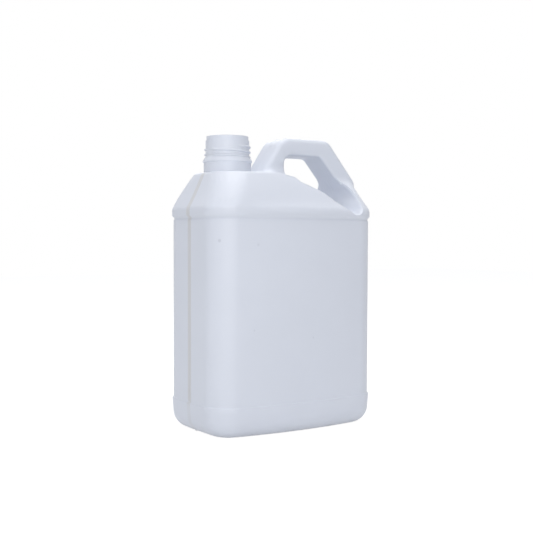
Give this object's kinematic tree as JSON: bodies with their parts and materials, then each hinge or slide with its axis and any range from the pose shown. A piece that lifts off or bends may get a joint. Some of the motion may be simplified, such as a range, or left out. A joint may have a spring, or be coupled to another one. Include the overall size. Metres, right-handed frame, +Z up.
{
  "type": "plastic jug",
  "caption": "Hollow blow-moulded plastic jug with an open screw neck at one end and a grab handle at the other, used to hold and pour a liquid.",
  "frame": {"origin": "centre of the jug's base, on the surface that it stands on", "axes": "+Z up, +X from the neck towards the handle's rear leg, the front face looks along -Y"},
  "size_m": [0.1592, 0.1006, 0.238],
  "materials": {
    "hdpe": "natural white moulded polyethylene, satin"
  },
  "bodies": {
    "root": {"jug": "hdpe"}
  },
  "joints": []
}
